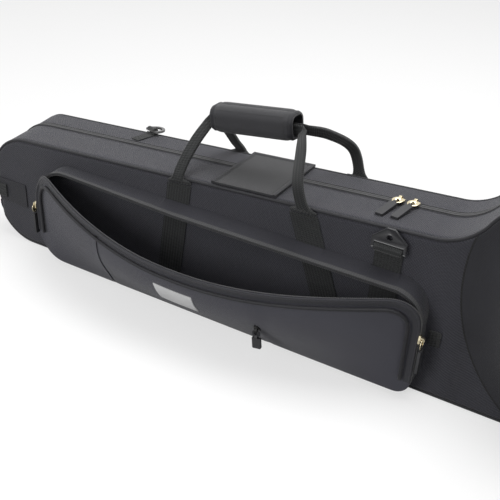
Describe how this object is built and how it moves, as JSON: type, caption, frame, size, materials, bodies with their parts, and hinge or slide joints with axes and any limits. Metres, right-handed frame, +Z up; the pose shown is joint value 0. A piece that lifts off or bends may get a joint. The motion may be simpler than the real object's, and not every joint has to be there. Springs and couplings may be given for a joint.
{
  "type": "trombone case",
  "caption": "Contoured soft-shell trombone case: padded halves on a cloth hinge, zippers, a front pocket with a flap, webbing handle loops with a wrap grip, strap rings and a grab loop.",
  "frame": {"origin": "on the flat underside of the back half, at the middle of the length, 12 mm behind the zipper plane", "axes": "+X along the length, from the slide end to the bell end; +Y from the pocket side to the back; +Z up, towards the handle"},
  "size_m": [0.966, 0.3043, 0.3114],
  "materials": {
    "ballistic_weave": "matte ballistic weave",
    "smooth_cloth": "smooth coated cloth",
    "webbing": "ribbed nylon webbing",
    "plush": "short plush",
    "foam": "cloth-covered foam",
    "trim": "woven tape and cord",
    "black_plastic": "satin moulded plastic",
    "grey_plastic": "satin moulded plastic, light grey",
    "pull_rubber": "soft matte rubber, bare",
    "pale_gold": "polished, pale gold plating",
    "black_metal": "black painted",
    "plate_metal": "satin, bare"
  },
  "bodies": {
    "back_shell": {"back_shell": "ballistic_weave", "back_lining": "plush", "hinge_gusset": "trim", "back_zipper_tape": "trim", "back_piping": "trim", "back_strap_left": "webbing", "back_strap_right": "webbing", "neck_rest": "foam", "bell_rest": "foam", "mouthpiece_block": "foam", "back_ring_tab": "webbing"},
    "front_shell": {"front_shell": "ballistic_weave", "front_lining": "plush", "front_zipper_tape": "trim", "front_piping": "trim", "front_strap_left": "webbing", "front_strap_right": "webbing", "slide_rest_left": "foam", "slide_rest_right": "foam", "pocket_gusset": "smooth_cloth", "pocket_zipper_tape": "trim", "front_ring_tab": "webbing", "pocket_end_tab": "webbing", "end_handle_patch": "ballistic_weave", "end_handle": "webbing"},
    "front_handle": {"front_handle_loop": "webbing", "grip_front_half": "smooth_cloth"},
    "back_handle": {"back_handle_loop": "webbing", "grip_back_half": "smooth_cloth"},
    "closure_flap": {"closure_flap": "ballistic_weave"},
    "pocket_flap": {"flap_panel_left": "smooth_cloth", "flap_panel_centre": "smooth_cloth", "flap_panel_right": "smooth_cloth", "flap_zipper_tape": "trim", "flap_piping": "trim", "flap_plate": "plate_metal"},
    "front_d_ring": {"front_d_ring": "black_plastic"},
    "back_d_ring": {"back_d_ring": "grey_plastic"},
    "main_slider_left": {"main_slider_left": "pale_gold"},
    "main_ring_left": {"main_slider_ring_left": "pale_gold"},
    "main_pull_left": {"main_pull_left": "pull_rubber"},
    "pocket_slider_left": {"pocket_slider_left": "pale_gold"},
    "pocket_ring_left": {"pocket_slider_ring_left": "pale_gold"},
    "pocket_pull_left": {"pocket_pull_left": "pull_rubber"},
    "main_slider_right": {"main_slider_right": "pale_gold"},
    "main_ring_right": {"main_slider_ring_right": "pale_gold"},
    "main_pull_right": {"main_pull_right": "pull_rubber"},
    "pocket_slider_right": {"pocket_slider_right": "pale_gold"},
    "pocket_ring_right": {"pocket_slider_ring_right": "pale_gold"},
    "pocket_pull_right": {"pocket_pull_right": "pull_rubber"},
    "flap_slider": {"flap_slider": "black_metal"},
    "flap_pull_cord": {"flap_pull_cord": "trim"},
    "flap_pull": {"flap_pull": "pull_rubber"}
  },
  "joints": [
    {"name": "lid_hinge", "type": "hinge", "parent": "back_shell", "child": "front_shell", "pos_m": [0, -0.012, 0], "axis": [1, 0, 0], "range_deg": [0, 165]},
    {"name": "front_handle_hinge", "type": "hinge", "parent": "front_shell", "child": "front_handle", "pos_m": [0.00049, -0.0838, 0.20265], "axis": [0.9979, 0, 0.0645], "range_deg": [0, 110]},
    {"name": "back_handle_hinge", "type": "hinge", "parent": "back_shell", "child": "back_handle", "pos_m": [0.00049, 0.0418, 0.20265], "axis": [-0.9979, 0, -0.0645], "range_deg": [0, 110]},
    {"name": "closure_flap_hinge", "type": "hinge", "parent": "front_shell", "child": "closure_flap", "pos_m": [-0.00011, -0.079, 0.21193], "axis": [0.9979, 0, 0.0645], "range_deg": [0, 28]},
    {"name": "pocket_flap_hinge", "type": "hinge", "parent": "front_shell", "child": "pocket_flap", "pos_m": [0, -0.1063, 0.0095], "axis": [1, 0, 0], "range_deg": [0, 35]},
    {"name": "front_d_ring_hinge", "type": "hinge", "parent": "front_shell", "child": "front_d_ring", "pos_m": [0.2, -0.0884, 0.19616], "axis": [1, 0, 0], "range_deg": [0, 165]},
    {"name": "back_d_ring_hinge", "type": "hinge", "parent": "back_shell", "child": "back_d_ring", "pos_m": [-0.23692, 0.032, 0.20134], "axis": [0.9543, -0.2924, 0.0617], "range_deg": [0, 180]},
    {"name": "main_slider_left_slide", "type": "slide", "parent": "back_shell", "child": "main_slider_left", "axis": [0.9979, 0, 0.0645], "range_m": [-0.11, 0.001]},
    {"name": "main_ring_left_hinge", "type": "hinge", "parent": "main_slider_left", "child": "main_ring_left", "pos_m": [0.1822, -0.012, 0.22852], "axis": [-0.9761, 0.2079, -0.0631], "range_deg": [0, 120]},
    {"name": "main_pull_left_hinge", "type": "hinge", "parent": "main_ring_left", "child": "main_pull_left", "pos_m": [0.17939, -0.02564, 0.2271], "axis": [-0.9761, 0.2079, -0.0631], "range_deg": [0, 45]},
    {"name": "main_slider_right_slide", "type": "slide", "parent": "back_shell", "child": "main_slider_right", "axis": [0.9979, 0, 0.0645], "range_m": [-0.001, 0.036]},
    {"name": "main_ring_right_hinge", "type": "hinge", "parent": "main_slider_right", "child": "main_ring_right", "pos_m": [0.20216, -0.012, 0.22981], "axis": [-0.9761, 0.2079, -0.0631], "range_deg": [0, 120]},
    {"name": "main_pull_right_hinge", "type": "hinge", "parent": "main_ring_right", "child": "main_pull_right", "pos_m": [0.19934, -0.02564, 0.22839], "axis": [-0.9761, 0.2079, -0.0631], "range_deg": [0, 45]},
    {"name": "pocket_slider_left_slide", "type": "slide", "parent": "pocket_flap", "child": "pocket_slider_left", "axis": [0, 0, 1], "range_m": [-0.04, 0.01]},
    {"name": "pocket_ring_left_hinge", "type": "hinge", "parent": "pocket_slider_left", "child": "pocket_ring_left", "pos_m": [-0.3591, -0.1075, 0.098], "axis": [0, 1, 0], "range_deg": [-1.5, 100]},
    {"name": "pocket_pull_left_hinge", "type": "hinge", "parent": "pocket_ring_left", "child": "pocket_pull_left", "pos_m": [-0.3591, -0.1075, 0.084], "axis": [0, 1, 0], "range_deg": [-1.5, 45]},
    {"name": "pocket_slider_right_slide", "type": "slide", "parent": "pocket_flap", "child": "pocket_slider_right", "axis": [0, 0, 1], "range_m": [-0.05, 0.008]},
    {"name": "pocket_ring_right_hinge", "type": "hinge", "parent": "pocket_slider_right", "child": "pocket_ring_right", "pos_m": [0.2661, -0.1075, 0.101], "axis": [0, -1, 0], "range_deg": [-1.5, 100]},
    {"name": "pocket_pull_right_hinge", "type": "hinge", "parent": "pocket_ring_right", "child": "pocket_pull_right", "pos_m": [0.2661, -0.1075, 0.087], "axis": [0, -1, 0], "range_deg": [-1.5, 45]},
    {"name": "flap_slider_slide", "type": "slide", "parent": "pocket_flap", "child": "flap_slider", "axis": [0.0534, -0.53, 0.8463], "range_m": [-0.02, 0.02]},
    {"name": "flap_pull_cord_hinge", "type": "hinge", "parent": "flap_slider", "child": "flap_pull_cord", "pos_m": [0.06704, -0.16273, 0.06674], "axis": [-0.9899, -0.1073, -0.0927], "range_deg": [-10, 90]},
    {"name": "flap_pull_hinge", "type": "hinge", "parent": "flap_pull_cord", "child": "flap_pull", "pos_m": [0.06793, -0.16232, 0.05679], "axis": [-0.9899, -0.1073, -0.0927], "range_deg": [-10, 45]}
  ]
}
